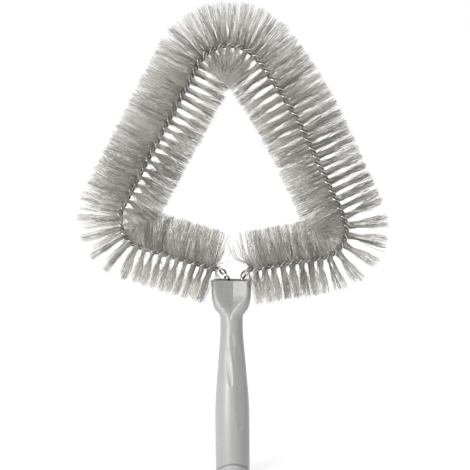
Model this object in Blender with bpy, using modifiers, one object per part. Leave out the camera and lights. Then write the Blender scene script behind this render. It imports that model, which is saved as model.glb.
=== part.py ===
"""Triangular cobweb brush on a moulded handle.

Two steel wires twisted together are bent to a triangle. They grip a spiral of plastic
bristles between them, and both of their ends are seated in the head of a hollow
handle, which fits on a broom pole.

Lengths are in metres. The handle stands along +Z with its open end at the origin, the
triangle lies in the XZ plane, and the front of the brush faces -Y.
"""

import math

import bpy
import bmesh
from mathutils import Matrix, Vector

# Overall sizes
HANDLE_LENGTH = 0.1805
HEAD_HALF_WIDTH = 0.0178
HEAD_HALF_DEPTH = 0.0098
NECK_RADIUS = 0.01025
GRIP_RADIUS = 0.0157
SOCKET_RADIUS = 0.0118
SOCKET_DEPTH = 0.062

# The stem, a pair of wires twisted to the left
WIRE_RADIUS = 0.00095
WIRE_OFFSET = 0.0018
WIRE_STEP = 0.0023
LEG_FOOT_Z = 0.1575
LEG_BEND_RADIUS = 0.009

# The hand-made twist: turns made before the start, then how far along the stem each
# pitch goes on
TWIST_START = 0.175
TWIST_RUNS = [(0.118, 0.0156), (0.340, 0.0164), (0.445, 0.0176), (0.700, 0.0168)]

# Where the straight runs of the stem would meet, as X and Z, with each bend's radius.
# The right side has a slow bend of its own, as it bows out a little.
LEFT_LEG_X = -0.0038
RIGHT_LEG_X = 0.0103
STEM_CORNERS = [
    (LEFT_LEG_X, 0.1876, LEG_BEND_RADIUS),
    (-0.1143, 0.2188, 0.026),
    (-0.0049, 0.4172, 0.032),
    (0.0520, 0.3428, 0.400),
    (0.1152, 0.2076, 0.0255),
    (RIGHT_LEG_X, 0.1893, LEG_BEND_RADIUS),
]
TIGHT_BEND = 0.1

# The bristles
BRISTLE_SPACING = 0.0024
REACH_INWARD = 0.035
REACH_OUTWARD = 0.0375
TRIM_TOWARDS_HANDLE = 0.006
CORE_HALF_SIDE = 0.00025
BRISTLE_HALF_LENGTH = 0.0005
TIP_HALF_SIDE = 0.0004
BARE_AFTER_LEFT_LEG = 0.0065
BARE_BEFORE_RIGHT_LEG = 0.001
CORNER_SHARE = 0.86
CORNER_ZONE = 0.09
STRETCHES = ["left_base", "left_corner", "left_side", "apex",
             "right_side", "right_corner", "right_base"]

# Clearance between meshes that touch on the real brush
GAP = 0.0003

# The handle's outside: height, half width, half depth and squareness of each section
HANDLE_SECTIONS = [
    (0.0000, 0.01500, 0.01500, 2.0),
    (0.0007, GRIP_RADIUS - 0.0001, GRIP_RADIUS - 0.0001, 2.0),
    (0.0280, GRIP_RADIUS, GRIP_RADIUS, 2.0),
    (0.0540, GRIP_RADIUS, GRIP_RADIUS, 2.0),
    (0.0690, 0.01530, 0.01530, 2.0),
    (0.0820, 0.01445, 0.01445, 2.0),
    (0.0980, 0.01315, 0.01315, 2.0),
    (0.1160, 0.01160, 0.01160, 2.0),
    (0.1290, 0.01060, 0.01060, 2.0),
    (0.1400, NECK_RADIUS, NECK_RADIUS, 2.0),
    (0.1465, NECK_RADIUS + 0.0001, NECK_RADIUS, 2.0),
    (0.1492, 0.01125, 0.01025, 2.2),
    (0.1518, 0.01325, 0.01020, 2.5),
    (0.1548, 0.01520, 0.01015, 3.0),
    (0.1590, 0.01665, 0.01010, 3.6),
    (0.1650, 0.01755, 0.01000, 4.2),
    (0.1720, HEAD_HALF_WIDTH, 0.00990, 4.5),
    (0.1797, HEAD_HALF_WIDTH, HEAD_HALF_DEPTH, 4.5),
    (HANDLE_LENGTH, HEAD_HALF_WIDTH - 0.0007, HEAD_HALF_DEPTH - 0.0007, 4.5),
]
HANDLE_SIDES = 48

# The shield recess on the front of the head: height, half width, and how far its
# crease lies behind its edges
SHIELD_SECTIONS = [
    (0.1475, 0.0008, 0.0002),
    (0.1510, 0.0032, 0.0008),
    (0.1545, 0.0064, 0.0017),
    (0.1580, 0.0096, 0.0026),
    (0.1625, 0.0124, 0.0033),
    (0.1685, 0.0144, 0.0038),
    (0.1760, 0.0150, 0.0040),
    (0.1820, 0.0150, 0.0040),
]

# The groove round the handle's open end, which rises to an arch at the front and back
COLLAR_SIDE_Z = 0.0060
COLLAR_ARCH = 0.0078
GROOVE_RADIUS = 0.0006

# The shallow finger flutes on the front of the grip: angle round from the front in
# degrees and height at the upper end, the same at the lower end, half width and depth
FLUTES = [
    ((9, 0.1340), (22, 0.1035), 0.0024, 0.0007),
    ((-15, 0.1200), (4, 0.0850), 0.0027, 0.0008),
    ((36, 0.1240), (35, 0.0435), 0.0048, 0.0009),
]
FLUTE_STATIONS = 11
FLUTE_SIDES = 12

# The mouth in the top of the head, and the two holes that the stem's ends seat in
MOUTH_CENTRE = (0.0010, 0.0013)
MOUTH_HALF_WIDTH = 0.0138
MOUTH_HALF_DEPTH = 0.0046
MOUTH_FLOOR_Z = 0.1712
LEG_HOLE_RADIUS = WIRE_OFFSET + WIRE_RADIUS + GAP


def clear_scene():
    for item in list(bpy.data.objects):
        bpy.data.objects.remove(item, do_unlink=True)


def new_collection(name):
    collection = bpy.data.collections.new(name)
    bpy.context.scene.collection.children.link(collection)
    return collection


def make_material(name, colour, roughness, metallic=0.0):
    material = bpy.data.materials.new(name)
    material.use_nodes = True
    shader = material.node_tree.nodes["Principled BSDF"]
    shader.inputs["Base Color"].default_value = (*colour, 1.0)
    shader.inputs["Roughness"].default_value = roughness
    shader.inputs["Metallic"].default_value = metallic
    material.diffuse_color = (*colour, 1.0)
    return material


def object_from_bmesh(name, bm, collection, material=None):
    mesh = bpy.data.meshes.new(name)
    bm.to_mesh(mesh)
    bm.free()
    item = bpy.data.objects.new(name, mesh)
    collection.objects.link(item)
    if material:
        mesh.materials.append(material)
    return item


def as_cutter(item):
    item.hide_render = True
    item.display_type = "WIRE"
    return item


class Route:
    """A flat path of straight runs and round bends, measured along its length."""

    def __init__(self, start, corners, end):
        self.pieces = []
        self.bends = []
        self.length = 0.0
        points = [Vector((start[0], 0, start[1]))]
        points += [Vector((x, 0, z)) for x, z, _ in corners]
        points.append(Vector((end[0], 0, end[1])))
        here = points[0]
        for index, (_, _, radius) in enumerate(corners, start=1):
            corner = points[index]
            before = (corner - points[index - 1]).normalized()
            after = (points[index + 1] - corner).normalized()
            turn = before.angle(after)
            tangent_length = radius * math.tan(turn / 2)
            self.add_run(here, corner - before * tangent_length)
            self.add_bend(corner - before * tangent_length, before, after, turn, radius)
            here = corner + after * tangent_length
            self.bends[-1]["corner"] = corner
            self.bends[-1]["along"] = (before + after).normalized()
        self.add_run(here, points[-1])
        self.corners = [bend for bend in self.bends[1:-1] if bend["radius"] < TIGHT_BEND]

    def add_run(self, start, end):
        length = (end - start).length
        direction = (end - start).normalized()
        self.pieces.append((self.length, length, None, start, direction, None))
        self.length += length

    def add_bend(self, start, before, after, turn, radius):
        inward = (after - before * before.dot(after)).normalized()
        length = turn * radius
        self.pieces.append((self.length, length, radius, start, before, inward))
        self.bends.append({"start": self.length, "end": self.length + length,
                           "radius": radius})
        self.length += length

    def at(self, distance):
        """The point, the direction of travel, and the bend's radius or None."""
        for first, length, radius, start, before, inward in self.pieces:
            if distance <= first + length:
                break
        along = distance - first
        if radius is None:
            return start + before * along, before, None
        angle = along / radius
        centre = start + inward * radius
        point = centre - inward * (radius * math.cos(angle)) + before * (radius * math.sin(angle))
        return point, before * math.cos(angle) + inward * math.sin(angle), radius


def turns_made(distance):
    """How many times the wires have gone round each other by that distance."""
    turns = TWIST_START
    start = 0.0
    for end, pitch in TWIST_RUNS:
        turns += (min(distance, end) - start) / pitch
        if distance <= end:
            break
        start = end
    return turns


def twist_frame(route, distance):
    """The stem's point there, and the twisted pair of directions across it.

    The bristles leave along the first direction, and the wires lie along the second.
    """
    point, travel, radius = route.at(distance)
    side = Vector((travel.z, 0, -travel.x))
    back = Vector((0, 1, 0))
    angle = -2 * math.pi * turns_made(distance)
    across = side * math.cos(angle) + back * math.sin(angle)
    beside = back * math.cos(angle) - side * math.sin(angle)
    return point, travel, side, across, beside, radius


def make_wire(name, route, sign, collection, material):
    """One wire of the twisted pair, as a round tube along its own spiral."""
    count = round(route.length / WIRE_STEP)
    curve = bpy.data.curves.new(name, "CURVE")
    curve.dimensions = "3D"
    curve.bevel_depth = WIRE_RADIUS
    curve.bevel_resolution = 1
    curve.use_fill_caps = True
    spline = curve.splines.new("POLY")
    spline.points.add(count)
    for index in range(count + 1):
        distance = route.length * index / count
        point, _, _, _, beside, _ = twist_frame(route, distance)
        spline.points[index].co = (*(point + beside * (sign * WIRE_OFFSET)), 1.0)
    item = bpy.data.objects.new(name, curve)
    collection.objects.link(item)
    curve.materials.append(material)
    return item


def bristle_reach(route, point, direction, side, radius):
    """How far a bristle stands out, trimmed short where it would meet its neighbours."""
    inward = direction.dot(side)
    reach = REACH_OUTWARD + (REACH_INWARD - REACH_OUTWARD) * (1 + inward) / 2
    reach -= TRIM_TOWARDS_HANDLE * max(0.0, -direction.z) ** 2 * (1 - inward) / 2
    if radius is not None and radius < TIGHT_BEND and inward > 0.1:
        return min(reach, CORNER_SHARE * radius / inward)
    for bend in route.corners:
        from_corner = point - bend["corner"]
        distance = from_corner.dot(bend["along"])
        speed = direction.dot(bend["along"])
        if from_corner.length < CORNER_ZONE and distance * speed < 0:
            reach = min(reach, -CORNER_SHARE * distance / speed)
    return reach


def make_bristles(name, route, first, last, start, spacing, collection, material):
    """A slice of the filaments' pressed core, with its bristles fused to it."""
    bm = bmesh.new()
    low = start + first * spacing + GAP / 2
    high = start + last * spacing - GAP / 2
    stations = [low]
    for index in range(first, last):
        middle = start + (index + 0.5) * spacing
        stations += [middle - BRISTLE_HALF_LENGTH, middle + BRISTLE_HALF_LENGTH]
    stations.append(high)

    rings = []
    for distance in stations:
        point, _, side, _, _, _ = twist_frame(route, distance)
        back = Vector((0, 1, 0))
        corners = [side + back, back - side, -side - back, side - back]
        rings.append([bm.verts.new(point + corner * CORE_HALF_SIDE) for corner in corners])
    bm.faces.new(reversed(rings[0]))
    bm.faces.new(rings[-1])
    roots = []
    for ring, following in zip(rings, rings[1:]):
        faces = []
        for corner in range(4):
            following_corner = (corner + 1) % 4
            faces.append(bm.faces.new((ring[corner], ring[following_corner],
                                       following[following_corner], following[corner])))
        roots.append(faces)
    bm.normal_update()

    for index in range(first, last):
        middle = start + (index + 0.5) * spacing
        point, travel, side, across, _, radius = twist_frame(route, middle)
        for direction in (across, -across):
            faces = roots[1 + 2 * (index - first)]
            root = max((face for face in faces if face.is_valid),
                       key=lambda face: face.normal.dot(direction))
            facing = root.normal.copy()
            root_centre = root.calc_center_median()
            tip = bmesh.ops.extrude_discrete_faces(bm, faces=[root])["faces"][0]
            reach = bristle_reach(route, point, direction, side, radius)
            sideways = travel.cross(direction)
            root_sideways = travel.cross(facing)
            for vertex in tip.verts:
                offset = vertex.co - root_centre
                along_sign = math.copysign(TIP_HALF_SIDE, offset.dot(travel))
                side_sign = math.copysign(TIP_HALF_SIDE, offset.dot(root_sideways))
                vertex.co = point + direction * reach + travel * along_sign + sideways * side_sign
    bmesh.ops.recalc_face_normals(bm, faces=bm.faces)
    return object_from_bmesh(name, bm, collection, material)


def rounded_section(height, half_width, half_depth, squareness, sides):
    """A closed ring of points, round at squareness 2 and boxy above it."""
    points = []
    for index in range(sides):
        angle = 2 * math.pi * index / sides
        cosine, sine = math.cos(angle), math.sin(angle)
        x = math.copysign(abs(cosine) ** (2 / squareness) * half_width, cosine)
        y = math.copysign(abs(sine) ** (2 / squareness) * half_depth, sine)
        points.append(Vector((x, y, height)))
    return points


def loft(name, sections, collection, material=None):
    """A closed body through rings that have the same number of points."""
    bm = bmesh.new()
    rings = [[bm.verts.new(point) for point in section] for section in sections]
    bm.faces.new(reversed(rings[0]))
    bm.faces.new(rings[-1])
    for ring, following in zip(rings, rings[1:]):
        for index in range(len(ring)):
            after = (index + 1) % len(ring)
            bm.faces.new((ring[index], ring[after], following[after], following[index]))
    bmesh.ops.recalc_face_normals(bm, faces=bm.faces)
    return object_from_bmesh(name, bm, collection, material)


def handle_size(height):
    """The handle's half width, half depth and squareness, between its sections."""
    for lower, upper in zip(HANDLE_SECTIONS, HANDLE_SECTIONS[1:]):
        if height <= upper[0]:
            break
    share = min(1.0, (height - lower[0]) / (upper[0] - lower[0]))
    return [low + (high - low) * share for low, high in zip(lower[1:], upper[1:])]


def handle_front(height, x):
    """The Y of the handle's front surface at a height and X."""
    half_width, half_depth, squareness = handle_size(height)
    return -half_depth * (1 - (x / half_width) ** squareness) ** (1 / squareness)


def shield_section(height, half_width, crease_depth):
    """A triangle whose point is the crease and whose sides leave the front surface."""
    edge = handle_front(min(height, HANDLE_SECTIONS[-2][0]), half_width)
    crease = edge + crease_depth
    outside = -HEAD_HALF_DEPTH - 0.004
    spread = half_width * (crease - outside) / crease_depth
    return [Vector((0, crease, height)), Vector((-spread, outside, height)),
            Vector((spread, outside, height))]


def socket_cutter(collection):
    """The pole socket, turned: a plain bore with a short lead-in at its mouth."""
    lead_in = 0.0008
    below = 0.002
    profile = [(0, SOCKET_DEPTH), (SOCKET_RADIUS, SOCKET_DEPTH), (SOCKET_RADIUS, lead_in),
               (SOCKET_RADIUS + lead_in, 0), (SOCKET_RADIUS + lead_in, -below), (0, -below)]
    bm = bmesh.new()
    vertices = [bm.verts.new((x, 0, z)) for x, z in profile]
    for vertex, following in zip(vertices, vertices[1:]):
        bm.edges.new((vertex, following))
    item = object_from_bmesh("socket_cutter", bm, collection)
    screw = item.modifiers.new("Turn", "SCREW")
    screw.steps = 36
    screw.render_steps = 36
    screw.use_merge_vertices = True
    screw.merge_threshold = 0.00001
    return as_cutter(item)


def leg_hole_cutter(name, x, collection):
    """A blind hole for one end of the stem, from below the wires up into the mouth."""
    bottom = LEG_FOOT_Z - WIRE_RADIUS - GAP
    top = MOUTH_FLOOR_Z + 0.002
    bm = bmesh.new()
    bmesh.ops.create_cone(bm, cap_ends=True, segments=20, radius1=LEG_HOLE_RADIUS,
                          radius2=LEG_HOLE_RADIUS, depth=top - bottom)
    bmesh.ops.translate(bm, verts=bm.verts, vec=(x, 0, (top + bottom) / 2))
    return as_cutter(object_from_bmesh(name, bm, collection))


def groove_cutter(collection):
    """A thin ring round the grip, lifted to an arch at the front and at the back."""
    bpy.ops.mesh.primitive_torus_add(major_segments=HANDLE_SIDES, minor_segments=4,
                                     major_radius=GRIP_RADIUS + GROOVE_RADIUS / 4,
                                     minor_radius=GROOVE_RADIUS)
    ring = bpy.context.object
    ring.name = "groove_cutter"
    for other in list(ring.users_collection):
        other.objects.unlink(ring)
    collection.objects.link(ring)
    ring.data.transform(Matrix.Rotation(math.pi / HANDLE_SIDES, 4, "Z"))
    for vertex in ring.data.vertices:
        vertex.co.z += COLLAR_SIDE_Z + COLLAR_ARCH * (vertex.co.y / GRIP_RADIUS) ** 2
    return as_cutter(ring)


def flute_cutter(name, upper, lower, half_width, depth, collection):
    """A long flat oval that follows the grip's surface, blunt at both of its ends."""
    rings = []
    for station in range(FLUTE_STATIONS):
        share = station / (FLUTE_STATIONS - 1)
        angle = math.radians(upper[0] + (lower[0] - upper[0]) * share)
        height = upper[1] + (lower[1] - upper[1]) * share
        fullness = max(0.05, 1 - abs(2 * share - 1) ** 3) ** 0.5
        surface = handle_size(height)[0]
        # The oval's middle lies outside the grip by the depth, and its two ends by twice that
        middle = surface + (depth if 0 < share < 1 else 2 * depth)
        half_angle = half_width / (surface * math.cos(math.pi / 6))
        ring = []
        for side in range(FLUTE_SIDES):
            turn = 2 * math.pi * side / FLUTE_SIDES
            radius = middle + 2 * depth * fullness * math.sin(turn)
            around = angle + half_angle * fullness * math.cos(turn)
            ring.append(Vector((radius * math.sin(around), -radius * math.cos(around), height)))
        rings.append(ring)
    return as_cutter(loft(name, rings, collection))


def make_handle(parts, cutters, material):
    """The moulded handle: grip, neck and head, cut for the pole, the stem and its details."""
    sections = [rounded_section(*section, HANDLE_SIDES) for section in HANDLE_SECTIONS]
    handle = loft("handle", sections, parts, material)

    shield = as_cutter(loft("shield_cutter", [shield_section(*s) for s in SHIELD_SECTIONS],
                            cutters))
    mouth_top = HANDLE_LENGTH + 0.002
    mouth_sections = []
    for height in (MOUTH_FLOOR_Z, mouth_top):
        ring = rounded_section(height, MOUTH_HALF_WIDTH, MOUTH_HALF_DEPTH, 3.0, 24)
        mouth_sections.append([point + Vector((*MOUTH_CENTRE, 0)) for point in ring])
    mouth = as_cutter(loft("mouth_cutter", mouth_sections, cutters))
    tools = [
        socket_cutter(cutters),
        shield,
        mouth,
        leg_hole_cutter("left_leg_hole_cutter", LEFT_LEG_X, cutters),
        leg_hole_cutter("right_leg_hole_cutter", RIGHT_LEG_X, cutters),
    ]
    for index, flute in enumerate(FLUTES, start=1):
        tools.append(flute_cutter(f"flute_cutter_{index}", *flute, cutters))
    tools.append(groove_cutter(cutters))
    for tool in tools:
        cut = handle.modifiers.new(tool.name, "BOOLEAN")
        cut.operation = "DIFFERENCE"
        cut.solver = "EXACT"
        cut.object = tool
    handle.data.shade_smooth()
    handle.data.set_sharp_from_angle(angle=math.radians(35))
    return handle


def main():
    clear_scene()
    parts = new_collection("cobweb_brush")
    cutters = new_collection("cutters")

    moulded_plastic = make_material("handle_plastic", (0.50, 0.50, 0.50), 0.32)
    steel = make_material("twisted_wire_steel", (0.36, 0.35, 0.34), 0.34, 1.0)
    filament = make_material("bristle_filament", (0.36, 0.35, 0.31), 0.5)

    route = Route((LEFT_LEG_X, LEG_FOOT_Z), STEM_CORNERS, (RIGHT_LEG_X, LEG_FOOT_Z))
    make_wire("wire_strand_a", route, 1, parts, steel)
    make_wire("wire_strand_b", route, -1, parts, steel)

    start = route.bends[0]["end"] + BARE_AFTER_LEFT_LEG
    end = route.bends[-1]["start"] - BARE_BEFORE_RIGHT_LEG
    count = round((end - start) / BRISTLE_SPACING)
    spacing = (end - start) / count
    limits = [start]
    for bend in route.corners:
        limits += [bend["start"], bend["end"]]
    limits.append(end)
    borders = [round((limit - start) / spacing) for limit in limits]
    for stretch, first, last in zip(STRETCHES, borders, borders[1:]):
        make_bristles("bristles_" + stretch, route, first, last, start, spacing,
                      parts, filament)

    make_handle(parts, cutters, moulded_plastic)
    print("stem length", round(route.length, 4), "bristles", 2 * count)


main()
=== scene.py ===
# %% [markdown]
# # A triangular cobweb brush
# Two steel wires are twisted into one stem, and the stem is bent to a triangle. The
# twist grips thousands of thin plastic filaments, which stand out in a spiral. A moulded
# handle holds both ends of the stem and takes a broom pole at its other end. This lesson
# starts from the CAD model, keeps its sizes, and gives each part its real surface.

import math

import bmesh
import bpy
import numpy as np
from mathutils import Matrix, Vector


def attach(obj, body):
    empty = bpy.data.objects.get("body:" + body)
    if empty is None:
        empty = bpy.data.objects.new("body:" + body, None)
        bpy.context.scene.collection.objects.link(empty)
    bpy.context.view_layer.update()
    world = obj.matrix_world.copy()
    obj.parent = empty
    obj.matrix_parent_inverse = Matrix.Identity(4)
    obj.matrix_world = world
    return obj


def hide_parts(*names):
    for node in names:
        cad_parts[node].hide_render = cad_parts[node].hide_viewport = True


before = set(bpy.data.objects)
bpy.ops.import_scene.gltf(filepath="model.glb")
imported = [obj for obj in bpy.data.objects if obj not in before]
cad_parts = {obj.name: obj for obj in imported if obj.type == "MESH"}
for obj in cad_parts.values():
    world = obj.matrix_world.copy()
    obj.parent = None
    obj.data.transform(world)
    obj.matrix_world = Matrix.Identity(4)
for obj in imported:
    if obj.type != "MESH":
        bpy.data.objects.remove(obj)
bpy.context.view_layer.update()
print("CAD parts:", sorted(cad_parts))

# %% [markdown]
# ## The camera
# The photo was taken from about a metre away, a little to the right of the brush and
# above its middle. A long lens keeps the triangle from spreading. The camera is placed
# with the directions of its own picture, so that the small roll is easy to read.

# %% Place the camera
CAMERA_PLACE = Vector((0.1387, -1.1000, 0.3455))
CAMERA_TARGET = Vector((0.0037, 0.0, 0.2215))
CAMERA_ROLL = math.radians(-0.42)
VIEW_ANGLE = math.radians(21.478)


def in_scene(name, data):
    """A new object in the scene that holds the data."""
    made = bpy.data.objects.new(name, data)
    bpy.context.scene.collection.objects.link(made)
    return made


forward = (CAMERA_TARGET - CAMERA_PLACE).normalized()
level = forward.cross(Vector((0, 0, 1))).normalized()
upright = level.cross(forward)
picture_right = level * math.cos(CAMERA_ROLL) + upright * math.sin(CAMERA_ROLL)
picture_up = upright * math.cos(CAMERA_ROLL) - level * math.sin(CAMERA_ROLL)
lens = bpy.data.cameras.new("photo_camera")
lens.sensor_fit = "HORIZONTAL"
lens.angle = VIEW_ANGLE
lens.clip_start = 0.05
camera = in_scene("photo_camera", lens)
camera.matrix_world = Matrix.Translation(CAMERA_PLACE) @ Matrix(
    (picture_right, picture_up, -forward)).transposed().to_4x4()
bpy.context.scene.camera = camera
print("Camera distance:", round((CAMERA_TARGET - CAMERA_PLACE).length, 3), "m")

# %% [markdown]
# ## Short helpers for node trees
# Every material and every Geometry Nodes tree below is built from the same three moves:
# add a node, set its values, and join it to what feeds it. A value may be a plain number
# or the output of another node, so one helper takes both. The tree itself is found from
# the outputs that are joined.


# %% Helpers that add and join nodes
def feed(target, inputs):
    """Feeds a node's inputs, keyed by name or number: an output is joined, a value is set."""
    for key, value in inputs.items():
        if isinstance(value, bpy.types.NodeSocket):
            target.id_data.links.new(value, target.inputs[key])
        else:
            target.inputs[key].default_value = value


def node(tree, kind, inputs=None, **settings):
    """Adds a node, makes its settings and feeds its inputs."""
    made = tree.nodes.new(kind)
    for setting, value in settings.items():
        setattr(made, setting, value)
    feed(made, inputs or {})
    return made


def tree_of(*values):
    """The tree that holds the first output among these values."""
    return next(value.id_data for value in values if isinstance(value, bpy.types.NodeSocket))


def maths(operation, first, second=0.0, third=0.0, clamp=False):
    return node(tree_of(first, second, third), "ShaderNodeMath",
                {0: first, 1: second, 2: third}, operation=operation, use_clamp=clamp).outputs[0]


def plus(first, second, clamp=False):
    return maths("ADD", first, second, clamp=clamp)


def minus(first, second, clamp=False):
    return maths("SUBTRACT", first, second, clamp=clamp)


def times(first, second, clamp=False):
    return maths("MULTIPLY", first, second, clamp=clamp)


def times_plus(first, second, third):
    return maths("MULTIPLY_ADD", first, second, third)


def vectors(operation, first, second=(0, 0, 0), scale=1.0):
    made = node(tree_of(first, second, scale), "ShaderNodeVectorMath",
                {0: first, 1: second, 3: scale}, operation=operation)
    return made.outputs["Value" if operation == "DISTANCE" else "Vector"]


def scaled(vector, share):
    return vectors("SCALE", vector, scale=share)


def moved(vector, by):
    return vectors("ADD", vector, by)


def blended(share, first, second):
    """A colour between two others."""
    return node(tree_of(share), "ShaderNodeMix", {"Factor": share, 6: first, 7: second},
                data_type="RGBA").outputs[2]


print("Helpers ready")

# %% [markdown]
# ## The floor and the studio
# The brush stands on a plain white floor. The lamps light it at a level where a colour
# shows about as it is written. The white behind it is a glow of the floor and the world
# that only the camera and reflections see, so it hardly lights the brush.

# %% Lay the floor
FLOOR_SIZE = 14.0
FLOOR_Z = -0.0002
FLOOR_GLOW = 0.55
WHITE = (1, 1, 1, 1)


def looked_at(tree, *rays):
    """1 for the camera's rays and for the other kinds named, and 0 for the rest."""
    path = node(tree, "ShaderNodeLightPath").outputs
    seen = path["Is Camera Ray"]
    for ray in rays:
        seen = maths("MAXIMUM", seen, path[ray])
    return seen


def floor_material():
    """White for the camera, and still darker where the brush shades it."""
    made = bpy.data.materials.new("studio_floor")
    made.use_nodes = True
    tree = made.node_tree
    glow = times(looked_at(tree, "Is Glossy Ray"), FLOOR_GLOW)
    feed(tree.nodes["Principled BSDF"], {
        "Base Color": (0.88, 0.88, 0.88, 1), "Roughness": 0.9, "Specular IOR Level": 0.1,
        "Emission Color": WHITE, "Emission Strength": glow})
    return made


sheet = bpy.data.meshes.new("studio_floor")
half = FLOOR_SIZE / 2
sheet.from_pydata([(-half, -half, FLOOR_Z), (half, -half, FLOOR_Z), (half, half, FLOOR_Z),
                   (-half, half, FLOOR_Z)], [], [(0, 1, 2, 3)])
sheet.materials.append(floor_material())
floor = in_scene("studio_floor", sheet)
print("Floor:", FLOOR_SIZE, "m wide")

# %% Set the world
WORLD_LEVEL = 0.46

bpy.context.scene.view_settings.view_transform = "Standard"
world = bpy.data.worlds.new("studio")
bpy.context.scene.world = world
world.use_nodes = True
sky = world.node_tree
seen = looked_at(sky, "Is Glossy Ray", "Is Transmission Ray")
feed(sky.nodes["Background"], {
    "Color": WHITE,
    "Strength": times_plus(seen, 1 - WORLD_LEVEL, WORLD_LEVEL)})
print("World level:", WORLD_LEVEL)


# %% Hang the lamps
def hang(name, kind, place, target, **settings):
    """Hangs a lamp that looks at a point."""
    lamp = bpy.data.lights.new(name, kind)
    for setting, value in settings.items():
        setattr(lamp, setting, value)
    turn = (Vector(target) - Vector(place)).to_track_quat("-Z", "Y")
    in_scene(name, lamp).matrix_world = (Matrix.Translation(Vector(place))
                                         @ turn.to_matrix().to_4x4())


hang("soft_key", "SUN", (-1.3, -1.6, 1.6), (0, 0, 0.2), energy=0.85, angle=math.radians(40))
hang("left_softbox", "AREA", (-0.474, -0.892, 0.12), (0, 0, 0.10), energy=3.6,
     shape="RECTANGLE", size=0.14, size_y=0.24)
hang("low_fill", "AREA", (-0.15, -0.282, 0.03), (0, 0, 0.05), energy=0.16,
     shape="RECTANGLE", size=0.04, size_y=0.05)

# %% [markdown]
# ## The line of the stem
# The stem is one pair of wires that leaves the handle, runs round the triangle and comes
# back. Its middle line is straight runs joined by round bends. The right side bows out
# a little, as it was bent by hand. Everything that follows the stem, the wires and the
# bristles, is measured along this one line.

# %% The corners of the stem
LEFT_LEG_X = -0.0038
RIGHT_LEG_X = 0.0103
LEG_FOOT_Z = 0.1575
LEG_BEND_RADIUS = 0.009
# X and Z where two straight runs would meet, and the radius of the bend between them
STEM_CORNERS = [
    (LEFT_LEG_X, 0.1876, LEG_BEND_RADIUS),
    (-0.1143, 0.2188, 0.026),
    (-0.0049, 0.4172, 0.032),
    (0.0520, 0.3428, 0.400),
    (0.1152, 0.2076, 0.0255),
    (RIGHT_LEG_X, 0.1893, LEG_BEND_RADIUS),
]


def stem_runs():
    """Each run or bend as first distance, length, radius or None, start, travel, inward."""
    foot = Vector((LEFT_LEG_X, 0, LEG_FOOT_Z))
    marks = [foot] + [Vector((x, 0, z)) for x, z, _ in STEM_CORNERS]
    marks.append(Vector((RIGHT_LEG_X, 0, LEG_FOOT_Z)))
    runs, here, distance = [], foot, 0.0
    for corner, previous, following, (_, _, radius) in zip(marks[1:], marks, marks[2:],
                                                           STEM_CORNERS):
        before = (corner - previous).normalized()
        after = (following - corner).normalized()
        turn = before.angle(after)
        bend_start = corner - before * radius * math.tan(turn / 2)
        inward = (after - before * before.dot(after)).normalized()
        for length, bend, start in [((bend_start - here).length, None, here),
                                    (turn * radius, radius, bend_start)]:
            runs.append((distance, length, bend, start, before, inward))
            distance += length
        here = corner + after * radius * math.tan(turn / 2)
    runs.append((distance, (marks[-1] - here).length, None, here, after, inward))
    return runs


RUNS = stem_runs()
STEM_LENGTH = RUNS[-1][0] + RUNS[-1][1]
print("Stem:", round(STEM_LENGTH * 1000, 1), "mm long")


# %% Find a place along the stem
def run_at(distance):
    """The run or bend that holds this distance along the stem."""
    return next((run for run in RUNS if distance <= run[0] + run[1]), RUNS[-1])


def stem_at(distance):
    """The point on the stem, and the direction across it, to the inside of the triangle."""
    first, _, radius, start, before, inward = run_at(distance)
    along = distance - first
    if radius is None:
        point, travel = start + before * along, before
    else:
        angle = along / radius
        middle = start + inward * radius
        point = middle + radius * (before * math.sin(angle) - inward * math.cos(angle))
        travel = before * math.cos(angle) + inward * math.sin(angle)
    return point, Vector((travel.z, 0, -travel.x))


SLOW_BEND = 0.1
BENDS = [(first, first + length) for first, length, radius, *_ in RUNS
         if radius is not None and radius < SLOW_BEND]
print("Bends at:", [[round(end * 1000) for end in bend] for bend in BENDS], "mm")

# %% [markdown]
# ## The twist
# The wires turn about each other once in about 16 mm, to the left. A hand-fed twisting
# machine doesn't turn quite evenly, so the pitch changes a little along the stem. The
# bristles lie across the stem between the wires, so the same turn gives their direction.

# %% How far the twist has turned
TWIST_START = 0.175
# Up to each distance along the stem, the length of one turn
TWIST_RUNS = [(0.118, 0.0156), (0.340, 0.0164), (0.445, 0.0176), (0.700, 0.0168)]
MEAN_PITCH = 0.0165


def turns_made(distance):
    turns, start = TWIST_START, 0.0
    for end, pitch in TWIST_RUNS:
        turns += (min(distance, end) - start) / pitch
        if distance <= end:
            break
        start = end
    return turns


print("Turns along the stem:", round(turns_made(STEM_LENGTH), 1))

# %% [markdown]
# ## From a line to a piece
# Geometry Nodes can follow a line of points and read what each point holds. So every
# wire and every stretch of bristles starts as such a line, and a tree grows the piece on
# it. The result is kept as a plain mesh, with no modifier left on it.


# %% A line that Geometry Nodes can follow
def line_piece(name, points, attributes):
    """A row of joined points, with a value or a direction stored at each point."""
    mesh = bpy.data.meshes.new(name)
    mesh.from_pydata(points, [(at, at + 1) for at in range(len(points) - 1)], [])
    for label, values in attributes.items():
        if isinstance(values[0], Vector):
            layer = mesh.attributes.new(label, "FLOAT_VECTOR", "POINT")
            layer.data.foreach_set("vector", [part for value in values for part in value])
        else:
            layer = mesh.attributes.new(label, "FLOAT", "POINT")
            layer.data.foreach_set("value", values)
    return in_scene(name, mesh)


def add_sockets(tree, in_out, sockets):
    for label, kind, *value in sockets:
        socket = tree.interface.new_socket(label, in_out=in_out, socket_type="NodeSocket" + kind)
        if value and value[0] is not None:
            socket.default_value = value[0]


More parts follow.
